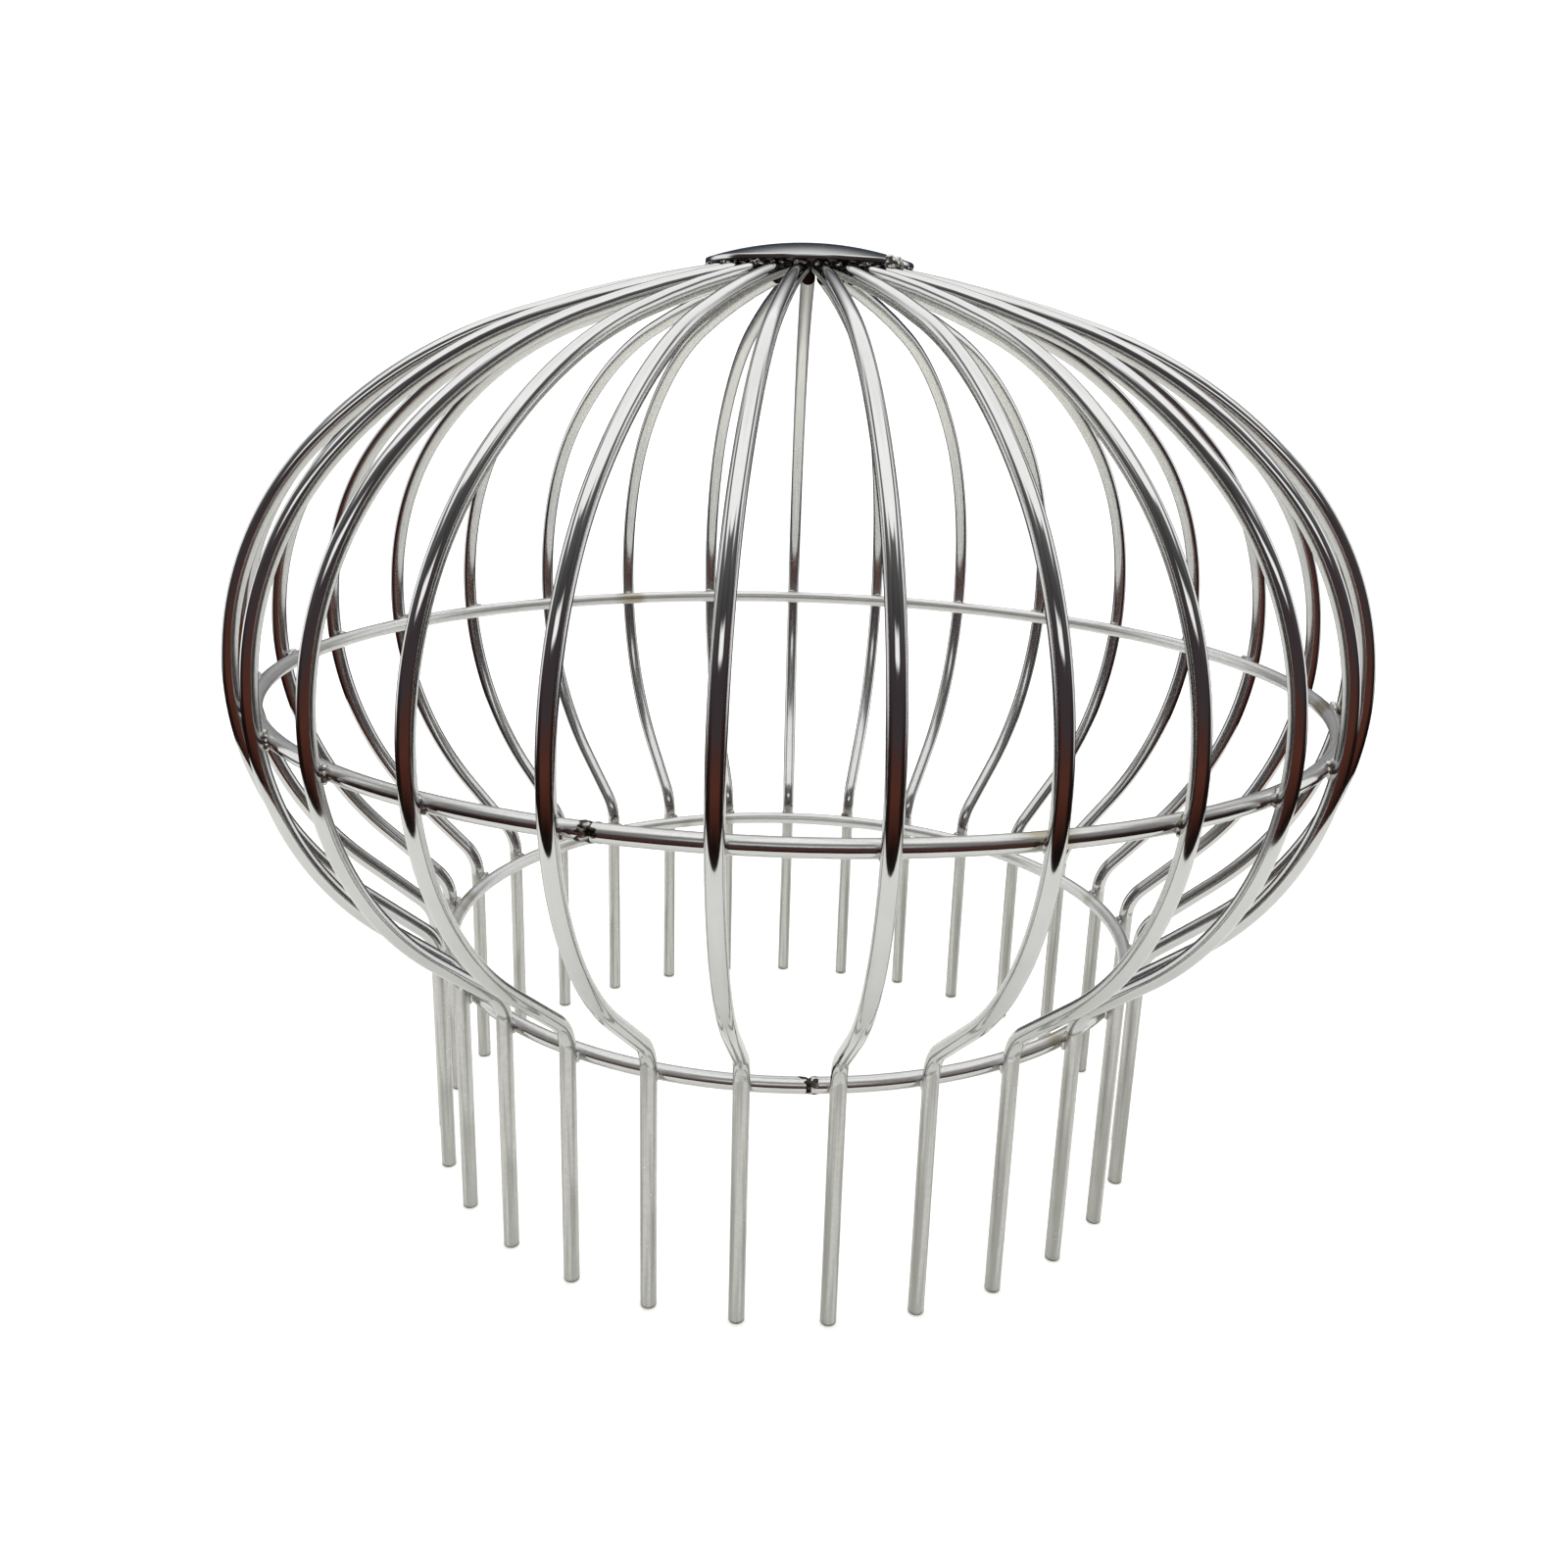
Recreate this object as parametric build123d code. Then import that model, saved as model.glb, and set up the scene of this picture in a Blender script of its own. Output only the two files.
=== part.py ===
from build123d import *
import os
from math import cos, degrees, radians, sin, sqrt

# A wire bird guard for a chimney flue: bent ribs welded round two hoops under a
# domed cap. The legs hang straight below the neck and push into the flue.
# Millimetres. +Z is up and runs along the cage's axis, and the origin is the
# centre of the circle of leg tips. One rib stands exactly at the back, on +Y.

# Wire
WIRE_D = 4.0                 # every rib and both hoops are bent from this gauge
WIRE_R = WIRE_D / 2
TIP_ROUND = 0.6              # radius of the tumbled edge at a cut end of wire
RIB_COUNT = 29
RIB_PITCH = 360 / RIB_COUNT  # degrees between ribs
BACK_ANGLE = 90              # degrees, the first rib's place about the axis

# One rib, from the leg's tip up to the cap, as radii, lengths and turns
LEG_CIRCLE_R = 102.0         # from the axis to the middle of each leg
LEG_LENGTH = 64.0            # straight, from the tip to the bend at the neck
NECK_BEND_R = 11.0
NECK_BEND_TURN = 50.0
NECK_RUN = 18.5              # straight run that leaves the neck outwards
LOWER_BELLY_R = 78.0
LOWER_BELLY_TURN = 95.0
UPPER_BELLY_R = 125.0
UPPER_BELLY_TURN = 27.0
CROWN_R = 370.0
CROWN_TURN = 8.0
RIB_END_R = 20.0             # from the axis to where a rib stops, under the cap

# Hoops, which lie inside the ribs
TOUCH_GAP = 0.1              # between two wires that cross, filled by their weld
NECK_HOOP_Z = 61.5
GIRTH_HOOP_Z = 135.5
JOINT_GAP = 1.2              # between the two ends of a hoop, filled by its weld
JOINT_PROUD = 0.25           # how far that weld stands out from the wire
JOINT_LAP = 0.5              # how far it reaches over each end of the wire
JOINT_EDGE_ROUND = 0.375
NECK_JOINT_ANGLE = -87.5     # degrees about the axis, by the front
GIRTH_JOINT_ANGLE = -106.0

# Cap
CAP_D = 54.0
CAP_T = 1.5
CAP_RISE = 4.5               # of the dome's underside, from the rim to the middle
CAP_BLANK_H = 18.0           # of the cylinder that trims the dome to its rim
CAP_GAP = 0.25               # from a rib's top to the rim above it
CAP_EDGE_ROUND = 0.5

# Welds
CROSSING_BEAD_R = 2.8
CAP_BEAD_R = 1.5
CAP_BEAD_INSET = 1.4         # from the rim in to the middle of a cap weld
RIM_TACK_R = 1.35
RIM_TACK_COUNT = 3
RIM_TACK_STEP = 3.4          # degrees from one lump of the rim's tack to the next
RIM_TACK_ANGLE = -39.0       # degrees about the axis, at the front right


def rib_wire():
    """The middle line of a rib, in the XZ plane on the +X side."""
    with BuildLine(Plane.XZ) as line:
        leg = Line((LEG_CIRCLE_R, 0), (LEG_CIRCLE_R, LEG_LENGTH))
        bend = JernArc(leg @ 1, leg % 1, NECK_BEND_R, -NECK_BEND_TURN)
        run = Line(bend @ 1, bend @ 1 + (bend % 1) * NECK_RUN)
        lower = JernArc(run @ 1, run % 1, LOWER_BELLY_R, LOWER_BELLY_TURN)
        upper = JernArc(lower @ 1, lower % 1, UPPER_BELLY_R, UPPER_BELLY_TURN)
        crown = JernArc(upper @ 1, upper % 1, CROWN_R, CROWN_TURN)
        end, way = crown @ 1, crown % 1
        Line(end, end + way * ((RIB_END_R - end.X) / way.X))
    return line.wire()


def rib_radius_at(z):
    """Distance from the axis to the middle of a rib at a height of the belly."""
    heading = radians(90 - NECK_BEND_TURN)
    bend_out = NECK_BEND_R * (1 - sin(heading))
    bend_up = NECK_BEND_R * cos(heading)
    run_r = LEG_CIRCLE_R + bend_out + NECK_RUN * cos(heading)
    run_z = LEG_LENGTH + bend_up + NECK_RUN * sin(heading)
    centre_r = run_r - LOWER_BELLY_R * sin(heading)
    centre_z = run_z + LOWER_BELLY_R * cos(heading)
    return centre_r + sqrt(LOWER_BELLY_R**2 - (z - centre_z) ** 2)


def rib_height_at(path, radius):
    """Height of a rib's middle line at a radius close to the cap, where it is straight."""
    end, way = path @ 1, path % 1
    return end.Z + way.Z / way.X * (radius - end.X)


def make_rib(path):
    """One bent wire with a tumbled edge at the tip of its leg."""
    section = Plane(path @ 0, z_dir=path % 0) * Circle(WIRE_R)
    wire = sweep(section, path)
    tip = wire.edges().sort_by(Axis.Z)[0]
    return fillet(tip, TIP_ROUND)


def make_hoop(radius, z, joint_angle):
    """A ring of wire, open by JOINT_GAP where its two ends meet."""
    gap = degrees(JOINT_GAP / radius)
    section = Plane.XZ * Pos(radius, 0) * Circle(WIRE_R)
    ring = revolve(section, Axis.Z, 360 - gap)
    return Pos(0, 0, z) * Rot(0, 0, joint_angle + gap / 2) * ring


def make_hoop_joint(radius, z, joint_angle, hoop):
    """The butt weld that fills a hoop's gap and stands a little proud of it."""
    length = JOINT_GAP + 2 * JOINT_LAP
    bead = Rot(90, 0, 0) * Cylinder(WIRE_R + JOINT_PROUD, length)
    bead = fillet(bead.edges(), JOINT_EDGE_ROUND)
    bead = Pos(0, 0, z) * Rot(0, 0, joint_angle) * Pos(radius, 0, 0) * bead
    return bead - hoop


def make_crossing_bead(hoop_r, z, rib, hoop):
    """The weld where a hoop crosses inside a rib, cut by both wires."""
    middle = hoop_r + WIRE_R + TOUCH_GAP / 2
    return Pos(middle, 0, z) * Sphere(CROSSING_BEAD_R) - rib - hoop


def make_cap(rim_z):
    """A shallow spherical disc of even thickness with softened edges."""
    half = CAP_D / 2
    dome_r = (half**2 + CAP_RISE**2) / (2 * CAP_RISE)
    centre_z = rim_z + CAP_RISE - dome_r
    under = Pos(0, 0, centre_z) * Sphere(dome_r)
    over = Pos(0, 0, centre_z) * Sphere(dome_r + CAP_T)
    blank = Pos(0, 0, rim_z + CAP_RISE) * Cylinder(half, CAP_BLANK_H)
    cap = (over - under) & blank
    rims = cap.edges().filter_by(GeomType.CIRCLE)
    return fillet(rims, CAP_EDGE_ROUND)


def make_cap_bead(path, rib, cap):
    """The weld between a rib's top and the cap, just under the rim."""
    radius = CAP_D / 2 - CAP_BEAD_INSET
    top = rib_height_at(path, radius) + WIRE_R
    return Pos(radius, 0, top) * Sphere(CAP_BEAD_R) - rib - cap


def make_rim_tack(rim_z, cap, neighbours):
    """A short run of lumps on the rim, where one more tack was laid."""
    first = RIM_TACK_ANGLE - RIM_TACK_STEP * (RIM_TACK_COUNT - 1) / 2
    lumps = Part()
    for index in range(RIM_TACK_COUNT):
        turn = Rot(0, 0, first + RIM_TACK_STEP * index)
        lumps += turn * Pos(CAP_D / 2, 0, rim_z + CAP_T / 2) * Sphere(RIM_TACK_R)
    for piece in neighbours:
        lumps -= piece
    return lumps - cap


def around(piece):
    """One copy of a piece at every rib, starting at the back."""
    return [Rot(0, 0, BACK_ANGLE + RIB_PITCH * k) * piece for k in range(RIB_COUNT)]


def solids_in(pieces):
    """Every separate solid of a list of pieces, as one group."""
    return Compound(children=[solid for piece in pieces for solid in piece.solids()])


os.makedirs("parts", exist_ok=True)

path = rib_wire()
rib = make_rib(path)
ribs = around(rib)

neck_hoop_r = LEG_CIRCLE_R - WIRE_D - TOUCH_GAP
girth_hoop_r = rib_radius_at(GIRTH_HOOP_Z) - WIRE_D - TOUCH_GAP
neck_hoop = make_hoop(neck_hoop_r, NECK_HOOP_Z, NECK_JOINT_ANGLE)
girth_hoop = make_hoop(girth_hoop_r, GIRTH_HOOP_Z, GIRTH_JOINT_ANGLE)

rim_z = rib_height_at(path, CAP_D / 2) + WIRE_R + CAP_GAP
cap = make_cap(rim_z)

# A weld is shaped once on the +X side, against a rib and a hoop with no gap there.
whole_neck_hoop = Pos(0, 0, NECK_HOOP_Z) * Torus(neck_hoop_r, WIRE_R)
whole_girth_hoop = Pos(0, 0, GIRTH_HOOP_Z) * Torus(girth_hoop_r, WIRE_R)
neck_bead = make_crossing_bead(neck_hoop_r, NECK_HOOP_Z, rib, whole_neck_hoop)
girth_bead = make_crossing_bead(girth_hoop_r, GIRTH_HOOP_Z, rib, whole_girth_hoop)
cap_bead = make_cap_bead(path, rib, cap)

nodes = {f"rib_{k + 1:02d}": piece for k, piece in enumerate(ribs)}
nodes["neck_hoop"] = neck_hoop
nodes["neck_hoop_joint"] = make_hoop_joint(
    neck_hoop_r, NECK_HOOP_Z, NECK_JOINT_ANGLE, neck_hoop
)
nodes["girth_hoop"] = girth_hoop
nodes["girth_hoop_joint"] = make_hoop_joint(
    girth_hoop_r, GIRTH_HOOP_Z, GIRTH_JOINT_ANGLE, girth_hoop
)
nodes["cap"] = cap
nodes["neck_welds"] = solids_in(around(neck_bead))
nodes["girth_welds"] = solids_in(around(girth_bead))
nodes["cap_welds"] = solids_in(around(cap_bead))
nodes["rim_tack"] = make_rim_tack(rim_z, cap, ribs + around(cap_bead))

for name, piece in nodes.items():
    export_step(piece, f"parts/{name}.step")

print("leg circle outside", 2 * (LEG_CIRCLE_R + WIRE_R))
print("belly outside", 2 * rib.bounding_box().max.X)
print("hoop radii", neck_hoop_r, girth_hoop_r, "rim height", rim_z)
print("top of the cap", cap.bounding_box().max.Z)
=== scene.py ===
import math
import random

import bmesh
import bpy
import numpy as np
from mathutils import Matrix, Vector, noise


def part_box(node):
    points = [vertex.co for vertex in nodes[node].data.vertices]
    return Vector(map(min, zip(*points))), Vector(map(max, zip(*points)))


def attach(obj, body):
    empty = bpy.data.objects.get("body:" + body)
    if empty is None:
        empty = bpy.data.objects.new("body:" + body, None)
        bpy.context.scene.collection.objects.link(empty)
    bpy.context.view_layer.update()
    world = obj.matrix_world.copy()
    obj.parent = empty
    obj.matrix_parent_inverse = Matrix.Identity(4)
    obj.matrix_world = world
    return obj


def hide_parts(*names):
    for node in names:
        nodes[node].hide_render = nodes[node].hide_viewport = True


# A welded wire guard for a chimney flue, in polished stainless steel. The hoops and
# cap are the CAD nodes with procedural materials. The ribs' wires, on the CAD's own
# course but with finer skins, and the welds are modelled here.
# Metres, +Z up, origin at the centre of the circle of leg tips.

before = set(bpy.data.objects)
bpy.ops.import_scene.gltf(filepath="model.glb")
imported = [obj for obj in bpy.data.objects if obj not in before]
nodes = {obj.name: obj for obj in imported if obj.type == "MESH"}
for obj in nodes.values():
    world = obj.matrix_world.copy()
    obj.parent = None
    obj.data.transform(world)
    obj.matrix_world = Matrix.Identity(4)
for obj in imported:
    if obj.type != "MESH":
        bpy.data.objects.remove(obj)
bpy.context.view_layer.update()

# Facts of the object, read from the frame
rib_names = sorted(name for name in nodes if name.startswith("rib_"))
RIB_COUNT = len(rib_names)
BACK_ANGLE = 90.0               # degrees, the first rib's place
neck_low, neck_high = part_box("neck_hoop")
girth_low, girth_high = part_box("girth_hoop")
cap_low, cap_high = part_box("cap")
WIRE_R = (neck_high.z - neck_low.z) / 2
NECK_Z = (neck_high.z + neck_low.z) / 2
GIRTH_Z = (girth_high.z + girth_low.z) / 2
NECK_R = neck_high.x - WIRE_R
GIRTH_R = girth_high.x - WIRE_R
CAP_R = cap_high.x

# ---------------------------------------------------------------- node helpers


class Nodes:
    """A node tree with short calls for the nodes that this script uses.

    A value is a socket to link from, or a plain number or colour.
    """

    def __init__(self, tree):
        self.tree = tree
        tree.nodes.clear()

    def add(self, kind, **settings):
        node = self.tree.nodes.new(kind)
        for name, value in settings.items():
            setattr(node, name, value)
        return node

    def put(self, socket, value):
        if isinstance(value, bpy.types.NodeSocket):
            self.tree.links.new(value, socket)
        elif value is not None:
            socket.default_value = value

    def math(self, operation, a, b=None, c=None):
        node = self.add("ShaderNodeMath", operation=operation)
        for socket, value in zip(node.inputs, (a, b, c)):
            self.put(socket, value)
        return node.outputs[0]

    def times(self, a, b):
        return self.math("MULTIPLY", a, b)

    def less(self, a, b):
        """A minus b."""
        return self.math("SUBTRACT", a, b)

    def scaled(self, value, gain, base):
        """A value times gain, plus base."""
        return self.math("MULTIPLY_ADD", value, gain, base)

    def smooth(self, value, low, high):
        """A smooth step from 0 where the value is low to 1 where it is high."""
        node = self.add("ShaderNodeMapRange", interpolation_type="SMOOTHSTEP")
        self.put(node.inputs["Value"], value)
        self.put(node.inputs["From Min"], low)
        self.put(node.inputs["From Max"], high)
        return node.outputs[0]

    def mix(self, factor, a, b):
        """A blend of two colours, each a socket or (red, green, blue)."""
        node = self.add("ShaderNodeMix", data_type="RGBA")
        self.put(node.inputs["Factor"], factor)
        for socket, colour in ((node.inputs[6], a), (node.inputs[7], b)):
            self.put(socket, (*colour, 1) if isinstance(colour, tuple) else colour)
        return node.outputs[2]

    def mix_value(self, factor, a, b):
        node = self.add("ShaderNodeMix", data_type="FLOAT")
        self.put(node.inputs["Factor"], factor)
        self.put(node.inputs[2], a)
        self.put(node.inputs[3], b)
        return node.outputs[0]

    def ramp(self, factor, stops):
        """Colours over a factor; stops are (place, colour)."""
        node = self.add("ShaderNodeValToRGB")
        self.put(node.inputs[0], factor)
        ramp = node.color_ramp
        while len(ramp.elements) > 1:
            ramp.elements.remove(ramp.elements[-1])
        ramp.elements[0].position = stops[0][0]
        ramp.elements[0].color = (*stops[0][1], 1)
        for place, colour in stops[1:]:
            ramp.elements.new(place).color = (*colour, 1)
        return node.outputs[0]

    def noise(self, vector, scale, detail=3.0, rough=0.5):
        node = self.add("ShaderNodeTexNoise")
        self.put(node.inputs["Vector"], vector)
        self.put(node.inputs["Scale"], scale)
        self.put(node.inputs["Detail"], detail)
        self.put(node.inputs["Roughness"], rough)
        return node.outputs["Fac"]

    def split(self, vector):
        node = self.add("ShaderNodeSeparateXYZ")
        self.put(node.inputs[0], vector)
        return node.outputs

    def combine(self, x, y, z):
        node = self.add("ShaderNodeCombineXYZ")
        for socket, value in zip(node.inputs, (x, y, z)):
            self.put(socket, value)
        return node.outputs[0]

    def coordinate(self, name):
        return self.add("ShaderNodeTexCoord").outputs[name]

    def object_place(self):
        """A point of the surface, whole and as its three coordinates."""
        place = self.coordinate("Object")
        return place, self.split(place)

    def from_axis(self, axes):
        """Distance from the cage's axis."""
        square = self.math("ADD", self.times(axes[0], axes[0]), self.times(axes[1], axes[1]))
        return self.math("SQRT", square)

    def bump(self, height, strength, distance):
        node = self.add("ShaderNodeBump")
        self.put(node.inputs["Height"], height)
        self.put(node.inputs["Strength"], strength)
        self.put(node.inputs["Distance"], distance)
        return node.outputs[0]


def new_material(name):
    """A metal with an empty look, its node tree and its shader."""
    material = bpy.data.materials.new(name)
    material.use_nodes = True
    tree = Nodes(material.node_tree)
    shader = tree.add("ShaderNodeBsdfPrincipled")
    out = tree.add("ShaderNodeOutputMaterial")
    tree.put(out.inputs["Surface"], shader.outputs[0])
    shader.inputs["Metallic"].default_value = 1.0
    return material, tree, shader


# ---------------------------------------------------------------- studio


def grey(level):
    return (level, level, level)


def sine(degrees):
    return math.sin(math.radians(degrees))


def cosine(degrees):
    return math.cos(math.radians(degrees))


BLACK = (0.012, 0.007, 0.006)
DEEP_RED = (0.08, 0.026, 0.018)
RED_BROWN = (0.125, 0.040, 0.026)
DULL_RED = (0.10, 0.040, 0.032)
UMBER = (0.03, 0.018, 0.016)
PLUM = (0.065, 0.050, 0.055)
SLATE = (0.032, 0.042, 0.062)
DARK_SLATE = (0.03, 0.035, 0.045)

# The room that the steel mirrors, as (elevation in degrees, colour) from the floor up
FRONT_OF_ROOM = (
    (-90, BLACK), (-29, BLACK), (-21, DEEP_RED), (-12, RED_BROWN), (-4, DULL_RED),
    (4, PLUM), (20, PLUM), (40, grey(0.07)), (56, grey(0.12)), (63, grey(0.16)), (66, grey(1.40)),
)
SIDE_OF_ROOM = (
    (-90, BLACK), (-18, BLACK), (-4, UMBER), (12, PLUM),
    (38, grey(0.13)), (46, grey(0.22)), (51, grey(1.40)),
)
BACK_OF_ROOM = (
    (-90, BLACK), (-8, BLACK), (2, DARK_SLATE), (10, SLATE), (17, SLATE),
    (23, grey(0.14)), (28, grey(0.50)), (36, grey(1.30)),
)
# Where one of them turns into the next, as cosines of the angle from the front
SIDE_TO_FRONT = (0.42, 0.78)
SIDE_TO_BACK = (-0.55, -0.85)

# A lamp above the camera and one behind each flank; each pair is where its glow fades
KEY_SPREAD = (30, 16)           # degrees to either side of the front
KEY_FOOT = (23, 27)             # degrees of elevation
KEY_TOP = (38, 33)
KEY_LEVEL = 1.45
FLANK_NEAR = (-0.05, -0.25)     # cosines of the angle from the front
FLANK_FAR = (-0.80, -0.62)
FLANK_FOOT = (-13, -5)
FLANK_TOP = (40, 30)
FLANK_LEVEL = 1.25
BACKDROP_LEVEL = 1.3            # of the plain white that the camera sees


def room_ramp(tree, height, stops):
    """The colour of the room over the sine of the elevation, brought to 0 to 1."""
    return tree.ramp(height, [((sine(degrees) + 1) / 2, colour) for degrees, colour in stops])


def band(tree, z, foot, top):
    """1 between two elevations, fading at its foot and its top."""
    rise = tree.smooth(z, sine(foot[0]), sine(foot[1]))
    return tree.times(rise, tree.smooth(z, sine(top[0]), sine(top[1])))


def make_studio():
    """A white ceiling over a dark room, with a lamp above the camera and one behind each flank.

    Steel mirrors this room. The camera itself sees plain white past the floor.
    """
    world = bpy.data.worlds.new("studio")
    bpy.context.scene.world = world
    world.use_nodes = True
    tree = Nodes(world.node_tree)
    _, y, z = tree.split(tree.coordinate("Generated"))
    height = tree.scaled(z, 0.5, 0.5)
    level = tree.math("SQRT", tree.less(1.0, tree.times(z, z)))
    facing = tree.math("DIVIDE", tree.times(y, -1.0), tree.math("MAXIMUM", level, 0.001))

    front = room_ramp(tree, height, FRONT_OF_ROOM)
    side = room_ramp(tree, height, SIDE_OF_ROOM)
    back = room_ramp(tree, height, BACK_OF_ROOM)
    room = tree.mix(tree.smooth(facing, *SIDE_TO_FRONT), side, front)
    room = tree.mix(tree.smooth(facing, *SIDE_TO_BACK), room, back)

    key = tree.smooth(facing, cosine(KEY_SPREAD[0]), cosine(KEY_SPREAD[1]))
    key = tree.times(key, band(tree, z, KEY_FOOT, KEY_TOP))
    room = tree.mix(key, room, grey(KEY_LEVEL))
    flank = tree.times(tree.smooth(facing, *FLANK_NEAR), tree.smooth(facing, *FLANK_FAR))
    flank = tree.times(flank, band(tree, z, FLANK_FOOT, FLANK_TOP))
    room = tree.mix(flank, room, grey(FLANK_LEVEL))

    mirrored = tree.add("ShaderNodeBackground")
    tree.put(mirrored.inputs["Color"], room)
    plain = tree.add("ShaderNodeBackground")
    plain.inputs["Color"].default_value = (1, 1, 1, 1)
    plain.inputs["Strength"].default_value = BACKDROP_LEVEL
    path = tree.add("ShaderNodeLightPath")
    chosen = tree.add("ShaderNodeMixShader")
    tree.put(chosen.inputs[0], path.outputs["Is Camera Ray"])
    tree.put(chosen.inputs[1], mirrored.outputs[0])
    tree.put(chosen.inputs[2], plain.outputs[0])
    out = tree.add("ShaderNodeOutputWorld")
    tree.put(out.inputs["Surface"], chosen.outputs[0])


FLOOR_HALF_WIDTH = 0.42
FLOOR_FRONT = -0.32
FLOOR_BACK = 0.45
FLOOR_POINTS = 96               # round its edge
FLOOR_COLOUR = (0.90, 0.905, 0.87, 1)
FLOOR_GLOW_COLOUR = (1, 1, 0.965, 1)
FLOOR_GLOW = 0.22               # strength of its own light
FLOOR_GLOW_TO_CAMERA = 0.30     # more of it for the camera, so that no shadow shows


def make_floor():
    """A small white table top, lit from within, clear when seen from below."""
    middle = (FLOOR_FRONT + FLOOR_BACK) / 2
    half_depth = (FLOOR_BACK - FLOOR_FRONT) / 2
    points = []
    for i in range(FLOOR_POINTS):
        turn = 2 * math.pi * i / FLOOR_POINTS
        points.append((FLOOR_HALF_WIDTH * math.cos(turn), middle + half_depth * math.sin(turn), 0))
    mesh = bpy.data.meshes.new("floor")
    mesh.from_pydata(points, [], [list(range(FLOOR_POINTS))])
    floor = bpy.data.objects.new("floor", mesh)
    bpy.context.scene.collection.objects.link(floor)
    mesh.materials.append(white_table())


def white_table():
    material = bpy.data.materials.new("white_table")
    material.use_nodes = True
    tree = Nodes(material.node_tree)
    matt = tree.add("ShaderNodeBsdfDiffuse")
    matt.inputs["Color"].default_value = FLOOR_COLOUR
    glow = tree.add("ShaderNodeEmission")
    glow.inputs["Color"].default_value = FLOOR_GLOW_COLOUR
    to_camera = tree.add("ShaderNodeLightPath").outputs["Is Camera Ray"]
    tree.put(glow.inputs["Strength"], tree.scaled(to_camera, FLOOR_GLOW_TO_CAMERA, FLOOR_GLOW))
    lit = tree.add("ShaderNodeAddShader")
    tree.put(lit.inputs[0], matt.outputs[0])
    tree.put(lit.inputs[1], glow.outputs[0])
    clear = tree.add("ShaderNodeBsdfTransparent")
    chosen = tree.add("ShaderNodeMixShader")
    tree.put(chosen.inputs[0], tree.add("ShaderNodeNewGeometry").outputs["Backfacing"])
    tree.put(chosen.inputs[1], lit.outputs[0])
    tree.put(chosen.inputs[2], clear.outputs[0])
    out = tree.add("ShaderNodeOutputMaterial")
    tree.put(out.inputs["Surface"], chosen.outputs[0])
    return material


OVERHEAD_SIZE = 0.7
OVERHEAD_POWER = 4.0
OVERHEAD_HEIGHT = 1.3


def make_overhead_light():
    """A wide soft light straight above, which the steel doesn't mirror."""
    data = bpy.data.lights.new("overhead", "AREA")
    data.shape = "DISK"
    data.size = OVERHEAD_SIZE
    data.energy = OVERHEAD_POWER
    light = bpy.data.objects.new("overhead", data)
    light.location = (0, 0, OVERHEAD_HEIGHT)
    light.visible_glossy = False
    bpy.context.scene.collection.objects.link(light)


CAMERA_DISTANCE = 0.38019       # level distance from the axis
CAMERA_HEIGHT = 0.21924
CAMERA_AZIMUTH = -0.855         # degrees off the front
CAMERA_HEADING = 0.466          # degrees to the right of straight back
CAMERA_PITCH = 16.843           # degrees down
CAMERA_ROLL = -1.718
CAMERA_LENS = 31.535            # mm on a 36 mm sensor
SENSOR_WIDTH = 36


def make_camera():
    """A close, slightly high camera in front, tilted a little clockwise."""
    upright = Vector((0, 0, 1))
    place = Vector((sine(CAMERA_AZIMUTH), -cosine(CAMERA_AZIMUTH), 0)) * CAMERA_DISTANCE
    place.z = CAMERA_HEIGHT
    level = Vector((sine(CAMERA_HEADING), cosine(CAMERA_HEADING), 0))
    forward = level * cosine(CAMERA_PITCH) - upright * sine(CAMERA_PITCH)
    right = forward.cross(upright).normalized()
    up = right.cross(forward)
    right_axis = right * cosine(CAMERA_ROLL) - up * sine(CAMERA_ROLL)
    up_axis = right * sine(CAMERA_ROLL) + up * cosine(CAMERA_ROLL)
    turn = Matrix((right_axis, up_axis, -forward)).transposed().to_4x4()
    data = bpy.data.cameras.new("camera")
    data.lens = CAMERA_LENS
    data.sensor_width = SENSOR_WIDTH
    data.clip_start = 0.01
    camera = bpy.data.objects.new("camera", data)
    camera.matrix_world = Matrix.Translation(place) @ turn
    bpy.context.scene.collection.objects.link(camera)
    bpy.context.scene.camera = camera
    bpy.context.scene.view_settings.view_transform = "Standard"


# ---------------------------------------------------------------- materials

POLISHED_LIGHT = (0.62, 0.62, 0.615)
POLISHED_DARK = (0.55, 0.55, 0.545)


def rib_side(tree, axes):
    """How far a point is to the side of its rib's middle plane, and from the axis."""
    pitch = 2 * math.pi / RIB_COUNT
    angle = tree.math("ARCTAN2", axes[1], axes[0])
    turns = tree.math("DIVIDE", tree.less(angle, math.radians(BACK_ANGLE)), pitch)
    off = tree.less(turns, tree.math("ROUND", turns))
    radius = tree.from_axis(axes)
    return tree.times(radius, tree.times(off, pitch)), radius


BELLY_R = 0.070                 # middle of the belly's bend, from the axis and up
BELLY_Z = 0.144


def rib_outward(tree, axes, radius):
    """How squarely a rib's surface faces out of the cage: 1 outwards, -1 inwards."""
    out = tree.math("DIVIDE", tree.less(radius, BELLY_R), radius)
    way = tree.combine(
        tree.times(axes[0], out),
        tree.times(axes[1], out),
        tree.less(axes[2], BELLY_Z),
    )
    unit = tree.add("ShaderNodeVectorMath", operation="NORMALIZE")
    tree.put(unit.inputs[0], way)
    dot = tree.add("ShaderNodeVectorMath", operation="DOT_PRODUCT")
    tree.put(dot.inputs[0], tree.coordinate("Normal"))
    tree.put(dot.inputs[1], unit.outputs[0])
    return dot.outputs["Value"]


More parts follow.
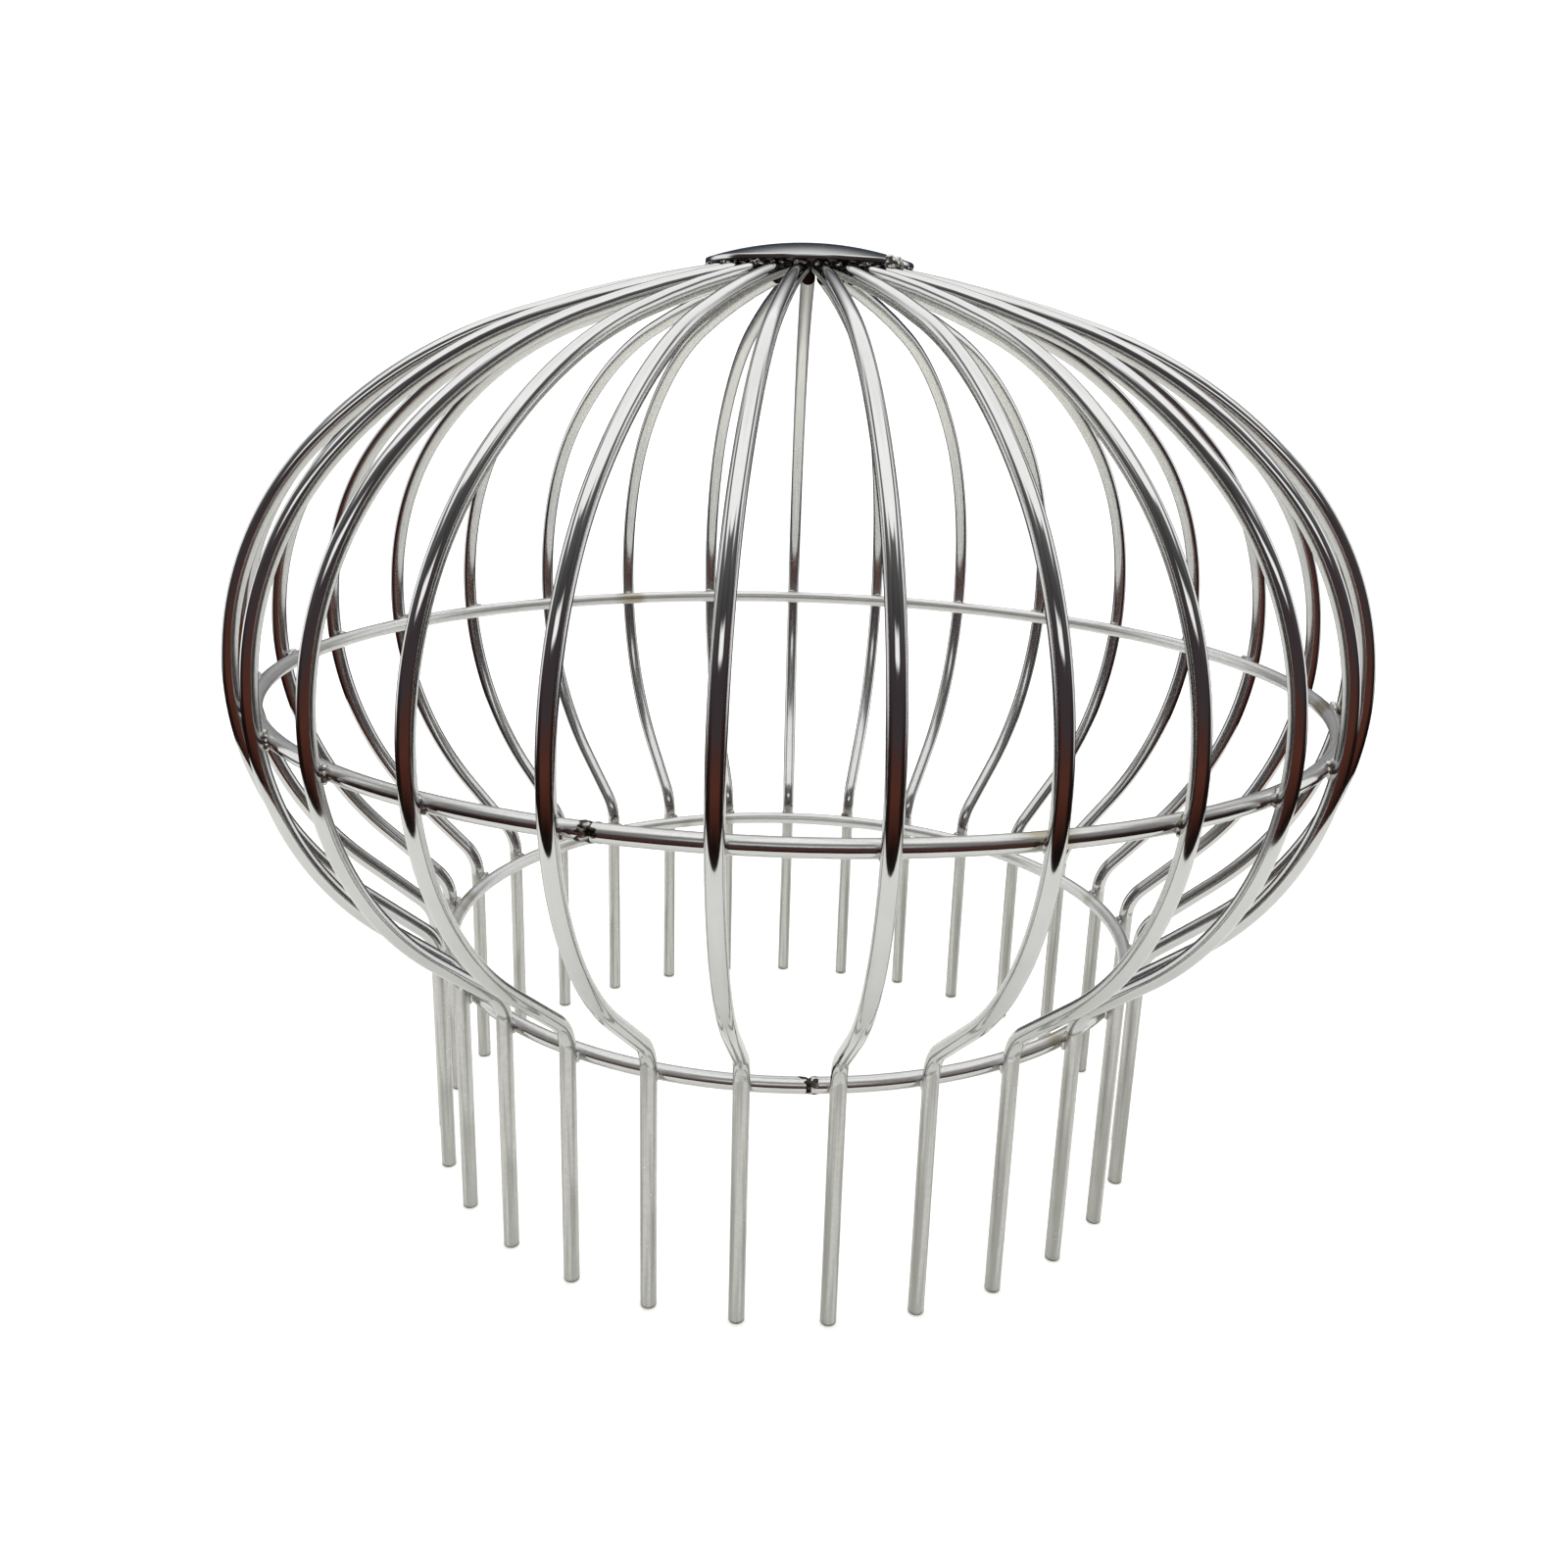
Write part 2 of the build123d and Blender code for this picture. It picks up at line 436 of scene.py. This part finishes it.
POLISH_END_Z = NECK_Z + 1.6 * WIRE_R + 0.0012   # on a leg's middle line, at the neck's bend
POLISH_END_SLOPE = -0.9         # the polish reaches lower at a leg's middle than at its sides
POLISH_END_RAGGED = 0.0024      # height of its uneven edge
CROWN_FOOT = GIRTH_Z + 0.030    # the crown's inner side turns satin over this height
CROWN_FULL = GIRTH_Z + 0.070
SATIN_METALLIC = -0.35          # added to the metal's 1 where it is satin
CROWN_SATIN = (0.76, 0.76, 0.73)
SCORCHED = (0.16, 0.15, 0.14)
LEG_LIGHT = (0.70, 0.70, 0.675)
LEG_MIDDLE = (0.61, 0.61, 0.585)
LEG_STREAK = (0.43, 0.43, 0.405)
# painted shade: a dark colour along the bottom edge of each leg's tip
LEG_TIP_SHADE = (0.17, 0.165, 0.15)


def above_polish_end(tree, axes, side, ragged):
    """Height above the ragged tongue in which the polish ends on a leg."""
    reach = tree.scaled(tree.math("ABSOLUTE", side), POLISH_END_SLOPE, POLISH_END_Z)
    uneven = tree.scaled(ragged, POLISH_END_RAGGED, -POLISH_END_RAGGED / 2)
    return tree.less(axes[2], tree.math("ADD", reach, uneven))


def wire_lines(tree, axes, side, radius, across, along, detail):
    """Lines that run along a rib, so many to the metre across it and along it."""
    around_rib = tree.times(side, across)
    place = tree.combine(around_rib, tree.times(radius, along), tree.times(axes[2], along))
    return tree.noise(place, 1.0, detail)


def polished_rib():
    """Bright polish on the cage and a satin, mottled finish on the legs."""
    material, tree, shader = new_material("polished_rib")
    place, axes = tree.object_place()
    side, radius = rib_side(tree, axes)
    ragged = tree.noise(place, 420.0, 2.0)
    above = above_polish_end(tree, axes, side, ragged)
    satin = tree.smooth(above, 0.0006, -0.0006)
    scorched = tree.times(tree.smooth(above, 0.0016, 0.0004), tree.smooth(above, -0.0008, 0.0002))
    scorched = tree.times(scorched, tree.smooth(ragged, 0.42, 0.62))
    # the buffing wheel hardly reached the side that faces into the cage
    inner = tree.smooth(rib_outward(tree, axes, radius), 0.15, -0.45)
    crown = tree.times(inner, tree.smooth(axes[2], CROWN_FOOT, CROWN_FULL))

    lines = wire_lines(tree, axes, side, radius, 3200.0, 60.0, 2.0)
    streaks = wire_lines(tree, axes, side, radius, 800.0, 25.0, 2.0)
    patches = tree.noise(place, 130.0, 3.0, 0.6)
    mottle = tree.noise(place, 900.0, 4.0, 0.7)

    polished = tree.mix(patches, POLISHED_LIGHT, POLISHED_DARK)
    polished = tree.mix(crown, polished, CROWN_SATIN)
    polished = tree.mix(tree.times(scorched, 0.8), polished, SCORCHED)
    dull = tree.mix(tree.smooth(mottle, 0.3, 0.7), LEG_LIGHT, LEG_MIDDLE)
    dull = tree.mix(tree.smooth(streaks, 0.40, 0.66), dull, LEG_STREAK)
    # painted shade: the bottom edge of each leg's tip, just above the floor, is coloured dark
    tip = tree.smooth(tree.scaled(ragged, -0.0010, axes[2]), 0.0007, -0.0003)
    dull = tree.mix(tip, dull, LEG_TIP_SHADE)
    tree.put(shader.inputs["Base Color"], tree.mix(satin, polished, dull))

    unpolished = tree.math("MAXIMUM", satin, crown)
    tree.put(shader.inputs["Metallic"], tree.scaled(unpolished, SATIN_METALLIC, 1.0))
    gloss = tree.scaled(patches, 0.05, 0.03)
    gloss = tree.scaled(lines, 0.03, gloss)
    gloss = tree.scaled(inner, 0.08, gloss)
    gloss = tree.scaled(crown, 0.18, gloss)
    matt = tree.scaled(mottle, 0.12, 0.19)
    tree.put(shader.inputs["Roughness"], tree.mix_value(satin, gloss, matt))
    fine = tree.times(lines, 0.012)
    grain = tree.times(tree.scaled(mottle, 0.5, streaks), satin)
    tree.put(shader.inputs["Normal"], tree.bump(tree.math("ADD", fine, grain), 0.3, 0.0001))
    return material


HOOP_SATIN_LIGHT = (0.82, 0.82, 0.81)
HOOP_SATIN_DARK = (0.68, 0.68, 0.67)
HOOP_TOP_SHARE = 0.85           # how satin a hoop's top is, against its inner side
HOOP_SATIN_METALLIC = -0.45
STRAW_TINT = (0.36, 0.31, 0.18)


def hoop_wire():
    """Polished where a wheel can reach, from outside and below, and satin elsewhere."""
    material, tree, shader = new_material("polished_hoop")
    place, axes = tree.object_place()
    side, radius = rib_side(tree, axes)
    upper = tree.math("GREATER_THAN", axes[2], (NECK_Z + GIRTH_Z) / 2)
    middle = tree.mix_value(upper, NECK_R, GIRTH_R)
    level = tree.mix_value(upper, NECK_Z, GIRTH_Z)
    inside = tree.smooth(tree.less(radius, middle), 0.0004, -0.0010)
    on_top = tree.smooth(tree.less(axes[2], level), 0.0004, 0.0009)
    missed = tree.math("MAXIMUM", inside, tree.times(on_top, HOOP_TOP_SHARE))
    patches = tree.noise(place, 150.0, 3.0, 0.6)
    grain = tree.noise(place, 1500.0, 3.0, 0.6)

    polished = tree.mix(patches, POLISHED_LIGHT, POLISHED_DARK)
    satin = tree.mix(grain, HOOP_SATIN_LIGHT, HOOP_SATIN_DARK)
    colour = tree.mix(missed, polished, satin)
    # straw-coloured heat tint beside some of the welds
    beside = tree.smooth(tree.math("ABSOLUTE", side), 0.0085, 0.0025)
    hot = tree.times(beside, tree.smooth(tree.noise(place, 38.0, 1.0), 0.56, 0.68))
    colour = tree.mix(tree.times(hot, 0.75), colour, STRAW_TINT)
    tree.put(shader.inputs["Base Color"], colour)

    gloss = tree.scaled(patches, 0.07, 0.04)
    matt = tree.scaled(grain, 0.10, 0.18)
    tree.put(shader.inputs["Roughness"], tree.mix_value(missed, gloss, matt))
    tree.put(shader.inputs["Metallic"], tree.scaled(missed, HOOP_SATIN_METALLIC, 1.0))
    tree.put(shader.inputs["Normal"], tree.bump(tree.times(grain, missed), 0.15, 0.0001))
    return material


CAP_LIGHT = (0.62, 0.625, 0.63)
CAP_DARK = (0.52, 0.525, 0.535)
# painted shade: the near-black colour of the cap's underside
CAP_UNDERSIDE_SHADE = (0.045, 0.04, 0.04)
CAP_RINGS = 2600.0              # to the metre


def cap_sheet():
    """Spun and polished sheet with faint turning rings, and painted shade: its underside is
    coloured near-black.
    """
    material, tree, shader = new_material("polished_cap")
    place, axes = tree.object_place()
    across = tree.times(tree.from_axis(axes), CAP_RINGS)
    rings = tree.noise(tree.combine(across, 0.0, 0.0), 1.0, 3.0)
    patches = tree.noise(place, 120.0, 4.0, 0.6)
    colour = tree.mix(patches, CAP_LIGHT, CAP_DARK)
    # painted shade: where the surface faces down, the cap's underside is coloured near-black for
    # the shade under the cap
    upward = tree.split(tree.coordinate("Normal"))[2]
    colour = tree.mix(tree.smooth(upward, 0.0, -0.4), colour, CAP_UNDERSIDE_SHADE)
    tree.put(shader.inputs["Base Color"], colour)
    gloss = tree.scaled(patches, 0.08, 0.07)
    tree.put(shader.inputs["Roughness"], tree.scaled(rings, 0.05, gloss))
    tree.put(shader.inputs["Normal"], tree.bump(rings, 0.12, 0.0001))
    return material


WELD_LIGHT = (0.66, 0.66, 0.65)
WELD_DARK = (0.50, 0.50, 0.49)


def weld_metal(name, tinted, black, burnt_from, burnt_to):
    """Bright, uneven weld metal with dull hollows, between a tint and a darker colour."""
    material, tree, shader = new_material(name)
    place = tree.coordinate("Object")
    lumps = tree.noise(place, 700.0, 3.0, 0.6)
    tint = tree.noise(place, 260.0, 2.0)
    bright = tree.mix(lumps, WELD_LIGHT, WELD_DARK)
    burnt = tree.mix(lumps, tinted, black)
    colour = tree.mix(tree.smooth(tint, burnt_from, burnt_to), bright, burnt)
    tree.put(shader.inputs["Base Color"], colour)
    tree.put(shader.inputs["Roughness"], tree.scaled(lumps, 0.25, 0.10))
    tree.put(shader.inputs["Normal"], tree.bump(lumps, 0.5, 0.0003))
    return material


# ---------------------------------------------------------------- ribs

LEG_CIRCLE_R = 0.102            # from the axis to the middle of each leg
TIP_ROUND = 0.0006              # radius of the tumbled edge at a leg's tip
TIP_STEPS = 5
RIB_SIDES = 32                  # points round the wire
RIB_BEND_STEP = 2.0             # degrees of bend from one ring of points to the next
FEWEST_BEND_STEPS = 4
RIB_END_R = 0.020               # from the axis to where a rib stops, under the cap
# The middle line of a rib above its tip: (length, 0) is straight, (radius, degrees) a bend
RIB_COURSE = (
    (0.064 - TIP_ROUND, 0),
    (0.011, -50),
    (0.0185, 0),
    (0.078, 95),
    (0.125, 27),
    (0.370, 8),
)


def rib_angles():
    return [BACK_ANGLE + 360 / RIB_COUNT * k for k in range(RIB_COUNT)]


def tip_rings():
    """The rings of the tumbled edge at a leg's tip, in the form of rib_rings."""
    upwards = math.pi / 2
    rings = []
    for i in range(TIP_STEPS):
        turn = upwards * i / TIP_STEPS
        height = TIP_ROUND * (1 - math.cos(turn))
        size = WIRE_R - TIP_ROUND * (1 - math.sin(turn))
        rings.append((LEG_CIRCLE_R, height, upwards, size, upwards - turn))
    return rings


def rib_rings():
    """A rib's rings as (radius, height, heading, size, lean), from the tip to the inner end.

    Heading is the wire's way on, from straight outwards; lean tilts the skin back at the tip.
    """
    radius, height, heading = LEG_CIRCLE_R, TIP_ROUND, math.pi / 2
    rings = tip_rings()
    rings.append((radius, height, heading, WIRE_R, 0))
    for length, bend in RIB_COURSE:
        if not bend:
            radius += length * math.cos(heading)
            height += length * math.sin(heading)
            rings.append((radius, height, heading, WIRE_R, 0))
            continue
        reach = math.copysign(length, bend)
        middle_r = radius - reach * math.sin(heading)
        middle_z = height + reach * math.cos(heading)
        steps = max(FEWEST_BEND_STEPS, round(abs(bend) / RIB_BEND_STEP))
        for i in range(1, steps + 1):
            way = heading + math.radians(bend) * i / steps
            radius = middle_r + reach * math.sin(way)
            height = middle_z - reach * math.cos(way)
            rings.append((radius, height, way, WIRE_R, 0))
        heading = way
    height += (RIB_END_R - radius) * math.tan(heading)
    rings.append((RIB_END_R, height, heading, WIRE_R, 0))
    return rings


def rib_skin():
    """Points, faces and a normal for each corner of each face, for a rib on the +X side."""
    rings = rib_rings()
    sideways = Vector((0, 1, 0))
    points, ways = [], []
    for radius, height, heading, size, lean in rings:
        on = Vector((math.cos(heading), 0, math.sin(heading)))
        out = Vector((math.sin(heading), 0, -math.cos(heading)))
        for i in range(RIB_SIDES):
            turn = 2 * math.pi * i / RIB_SIDES
            away = out * math.cos(turn) + sideways * math.sin(turn)
            points.append(Vector((radius, 0, height)) + away * size)
            ways.append(away * math.cos(lean) - on * math.sin(lean))
    faces = []
    for ring in range(len(rings) - 1):
        near, far = ring * RIB_SIDES, (ring + 1) * RIB_SIDES
        for i in range(RIB_SIDES):
            after = (i + 1) % RIB_SIDES
            faces.append((near + i, near + after, far + after, far + i))
    corners = [ways[point] for face in faces for point in face]
    # the flat ends: the tip faces down, and the inner end the way its last ring goes on
    last = (len(rings) - 1) * RIB_SIDES
    faces.append(tuple(reversed(range(RIB_SIDES))))
    corners += [Vector((0, 0, -1))] * RIB_SIDES
    faces.append(tuple(range(last, last + RIB_SIDES)))
    corners += [on] * RIB_SIDES
    return points, faces, corners


def rib_wires(material):
    """Every rib as one smooth wire, in place of the CAD's rib."""
    points, faces, corners = rib_skin()
    for k, (name, angle) in enumerate(zip(rib_names, rib_angles())):
        turn = Matrix.Rotation(math.radians(angle), 3, "Z")
        skin = bpy.data.meshes.new(f"rib_wire_{k + 1:02d}")
        skin.from_pydata([turn @ point for point in points], [], faces)
        skin.polygons.foreach_set("use_smooth", [True] * len(skin.polygons))
        skin.normals_split_custom_set([turn @ corner for corner in corners])
        skin.materials.append(material)
        piece = bpy.data.objects.new(skin.name, skin)
        bpy.context.scene.collection.objects.link(piece)
        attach(piece, "root")
        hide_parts(name)


# ---------------------------------------------------------------- welds

WELD_RIPPLE = 0.00007           # height of the unevenness of a weld's skin
WELD_REACH = 0.0045             # no weld's skin is further than this from its middle
WELD_STEPS = 60                 # how finely a skin is sought along each ray
WELD_FUSION = 2.4               # lower runs the lumps of a weld further into each other
WELD_SMOOTHINGS = 2


def local_axes(angle):
    """Outward, along the hoop and up, at an angle about the axis in degrees."""
    turn = math.radians(angle)
    out = Vector((math.cos(turn), math.sin(turn), 0))
    along = Vector((-math.sin(turn), math.cos(turn), 0))
    return out, along, Vector((0, 0, 1))


def angle_of(node):
    """Where a node's middle is about the axis, in degrees."""
    low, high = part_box(node)
    return math.degrees(math.atan2((low.y + high.y) / 2, (low.x + high.x) / 2))


def add_weld(whole, middle, lumps, fineness=4):
    """Adds one weld: a closed skin round lumps of metal that run into each other.

    Each lump is (axes, centre, radii). The skin is a ball whose points are pushed out
    from the middle to the outermost place where the lumps' fields add up to one.
    """
    ball = bmesh.ops.create_icosphere(whole, subdivisions=fineness, radius=1)["verts"]
    rays = np.array([vertex.co for vertex in ball])
    steps = np.linspace(0, WELD_REACH, WELD_STEPS)
    points = rays[:, None, :] * steps[None, :, None] + np.array(middle)
    field = np.zeros(points.shape[:2])
    for axes, centre, radii in lumps:
        near = (points - np.array(centre)) @ np.array(axes).T / np.array(radii)
        field += np.exp(WELD_FUSION * (1 - (near**2).sum(-1)))
    last = WELD_STEPS - 1 - np.argmax(field[:, ::-1] >= 1, axis=1)
    last = np.clip(last, 1, WELD_STEPS - 2)
    rows = np.arange(len(rays))
    inner, outer = field[rows, last], field[rows, last + 1]
    part = np.clip((inner - 1) / np.maximum(inner - outer, 1e-9), 0, 1)
    reach = (last + part) * steps[1]
    for vertex, ray, length in zip(ball, rays, reach):
        vertex.co = Vector(middle) + Vector(ray) * length
    for _ in range(WELD_SMOOTHINGS):
        bmesh.ops.smooth_vert(
            whole, verts=ball, factor=0.4, use_axis_x=True, use_axis_y=True, use_axis_z=True
        )


def weld_piece(name, whole, material, stands_for):
    """Roughens the skins of a group of welds and puts them on the guard as one piece."""
    skin = bpy.data.meshes.new(name)
    whole.to_mesh(skin)
    whole.free()
    places = [vertex.co.copy() for vertex in skin.vertices]
    ways = [vertex.normal.copy() for vertex in skin.vertices]
    for vertex, place, way in zip(skin.vertices, places, ways):
        wave = noise.noise(place * 1300) + 0.5 * noise.noise(place * 2900)
        vertex.co = place + way * wave * WELD_RIPPLE
    skin.polygons.foreach_set("use_smooth", [True] * len(skin.polygons))
    skin.materials.append(material)
    piece = bpy.data.objects.new(name, skin)
    bpy.context.scene.collection.objects.link(piece)
    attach(piece, "root")
    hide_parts(stands_for)


CORE_RADII = (0.0008, 0.0018, 0.0018)   # of the metal drawn between two crossing wires
NUGGET_SIZE = (0.0009, 0.0012)          # least and most, here and below
NUGGET_INWARD = (0.0001, 0.0005)        # from where the wires touch
NUGGET_ASIDE = (0.0007, 0.0013)
NUGGET_UP = (0.0015, 0.0019)
DAB_SIZE = (0.0005, 0.0008)
DAB_ASIDE = (-0.0017, 0.0017)
DAB_ABOVE = (0.0010, 0.0014)
DAB_BELOW = (-0.0018, -0.0012)
DABS = 3                                # the first above the wires, the others below


def crossing_welds(name, stands_for, hoop_r, level, seed, material):
    """At each rib, a nugget in the corner above the hoop and metal drawn between the wires."""
    chance = random.Random(seed)
    whole = bmesh.new()
    for angle in rib_angles():
        axes = local_axes(angle)
        out, along, up = axes
        touch = out * (hoop_r + WIRE_R) + up * level
        lumps = [(axes, touch, CORE_RADII)]
        hand = chance.choice((-1, 1))
        nugget = touch - out * chance.uniform(*NUGGET_INWARD)
        aside = along * hand * chance.uniform(*NUGGET_ASIDE)
        nugget += aside + up * chance.uniform(*NUGGET_UP)
        size = chance.uniform(*NUGGET_SIZE)
        lumps.append((axes, nugget, (size, size * 1.05, size * 0.9)))
        for dab in range(DABS):
            spot = touch + along * chance.uniform(*DAB_ASIDE)
            spot += up * chance.uniform(*(DAB_BELOW if dab else DAB_ABOVE))
            size = chance.uniform(*DAB_SIZE)
            lumps.append((axes, spot, (size, size * 1.3, size)))
        add_weld(whole, touch, lumps)
    weld_piece(name, whole, material, stands_for)


BEAD_SIZE = (0.0009, 0.0012)
BEAD_INWARD = (0.0012, 0.0020)          # from the cap's rim
BEAD_UP = (-0.0005, 0.0001)
BEAD_ASIDE = (0.0003, 0.0011)
BEAD_OTHER_ASIDE = 0.0008


def cap_beads(material):
    """A small bright bead between each rib's end and the underside of the cap."""
    chance = random.Random(31)
    whole = bmesh.new()
    for angle in rib_angles():
        axes = local_axes(angle)
        out, along, up = axes
        hand = chance.choice((-1, 1))
        radius = CAP_R - chance.uniform(*BEAD_INWARD)
        height = cap_low.z + chance.uniform(*BEAD_UP)
        spot = out * radius + up * height
        size = chance.uniform(*BEAD_SIZE)
        main = spot + along * hand * chance.uniform(*BEAD_ASIDE)
        other = spot - along * hand * BEAD_OTHER_ASIDE
        lumps = [
            (axes, main, (size * 1.3, size, size * 0.8)),
            (axes, other, (size, size * 0.8, size * 0.6)),
        ]
        add_weld(whole, spot, lumps)
    weld_piece("cap_beads", whole, material, "cap_welds")


TACK_DABS = 3
TACK_STEP = 3.4                         # degrees from one dab to the next
TACK_LUMPS = 4                          # to a dab
TACK_LUMP_STEP = 1.1                    # degrees
TACK_SCATTER = (-0.4, 0.4)              # degrees
TACK_SIZE = (0.0009, 0.0013)
TACK_INWARD = (0.0001, 0.0007)
TACK_UP = (0.0000, 0.0017)
TACK_MIDDLE_INWARD = 0.0004
TACK_MIDDLE_UP = 0.0008


def rim_tack(material):
    """The rough extra tack over the cap's rim."""
    chance = random.Random(8)
    whole = bmesh.new()
    middle = angle_of("rim_tack")
    for dab in range(TACK_DABS):
        dab_angle = middle + TACK_STEP * (dab - (TACK_DABS - 1) / 2)
        lumps = []
        for i in range(TACK_LUMPS):
            turn = dab_angle + TACK_LUMP_STEP * (i - (TACK_LUMPS - 1) / 2)
            axes = local_axes(turn + chance.uniform(*TACK_SCATTER))
            out, _, up = axes
            spot = out * (CAP_R - chance.uniform(*TACK_INWARD))
            spot += up * (cap_low.z + chance.uniform(*TACK_UP))
            size = chance.uniform(*TACK_SIZE)
            lumps.append((axes, spot, (size, size * 1.4, size * 0.8)))
        out, _, up = local_axes(dab_angle)
        centre = out * (CAP_R - TACK_MIDDLE_INWARD) + up * (cap_low.z + TACK_MIDDLE_UP)
        add_weld(whole, centre, lumps, fineness=5)
    weld_piece("rim_tack_bead", whole, material, "rim_tack")


JOINT_CORE_SHARE = 0.74                 # of the wire's radius
JOINT_CORE_LENGTH = 0.0018
JOINT_LUMPS = 21                        # round the wire
JOINT_SIZE = (0.00050, 0.00072)
JOINT_SINK = 0.75                       # how much of a lump lies inside the wire
JOINT_ALONG = (-0.0021, 0.0021)
JOINT_STRETCH = (1.4, 2.6)
NICK_HALF_ANGLE = 18                    # degrees round the wire that have no lump


def hoop_joint(name, node, hoop_r, level, nick_angle, seed, material):
    """A lumpy butt weld round the wire, with a nick left where the bead didn't close."""
    chance = random.Random(seed)
    whole = bmesh.new()
    axes = local_axes(angle_of(node))
    out, along, up = axes
    middle = out * hoop_r + up * level
    core = WIRE_R * JOINT_CORE_SHARE
    lumps = [(axes, middle, (core, JOINT_CORE_LENGTH, core))]
    for i in range(JOINT_LUMPS):
        turn = 360 / JOINT_LUMPS * i
        if abs((turn - nick_angle + 180) % 360 - 180) < NICK_HALF_ANGLE:
            continue
        way = out * cosine(turn) + up * sine(turn)
        size = chance.uniform(*JOINT_SIZE)
        spot = middle + way * (WIRE_R - size * JOINT_SINK) + along * chance.uniform(*JOINT_ALONG)
        lumps.append((axes, spot, (size, size * chance.uniform(*JOINT_STRETCH), size)))
    add_weld(whole, middle, lumps, fineness=5)
    weld_piece(name, whole, material, node)


def paint(names, material):
    for name in names:
        for place in nodes[name].material_slots:
            place.material = material


make_camera()
make_studio()
make_floor()
make_overhead_light()
rib_wires(polished_rib())
paint(["neck_hoop", "girth_hoop"], hoop_wire())
paint(["cap"], cap_sheet())
weld = weld_metal("weld_metal", (0.30, 0.26, 0.17), (0.16, 0.14, 0.12), 0.55, 0.72)
dark_weld = weld_metal("burnt_weld_metal", (0.09, 0.07, 0.05), (0.02, 0.02, 0.02), 0.40, 0.50)
crossing_welds("neck_beads", "neck_welds", NECK_R, NECK_Z, 11, weld)
crossing_welds("girth_beads", "girth_welds", GIRTH_R, GIRTH_Z, 23, weld)
cap_beads(weld)
rim_tack(weld)
hoop_joint("neck_hoop_butt", "neck_hoop_joint", NECK_R, NECK_Z, -12, 5, dark_weld)
hoop_joint("girth_hoop_butt", "girth_hoop_joint", GIRTH_R, GIRTH_Z, 150, 6, dark_weld)
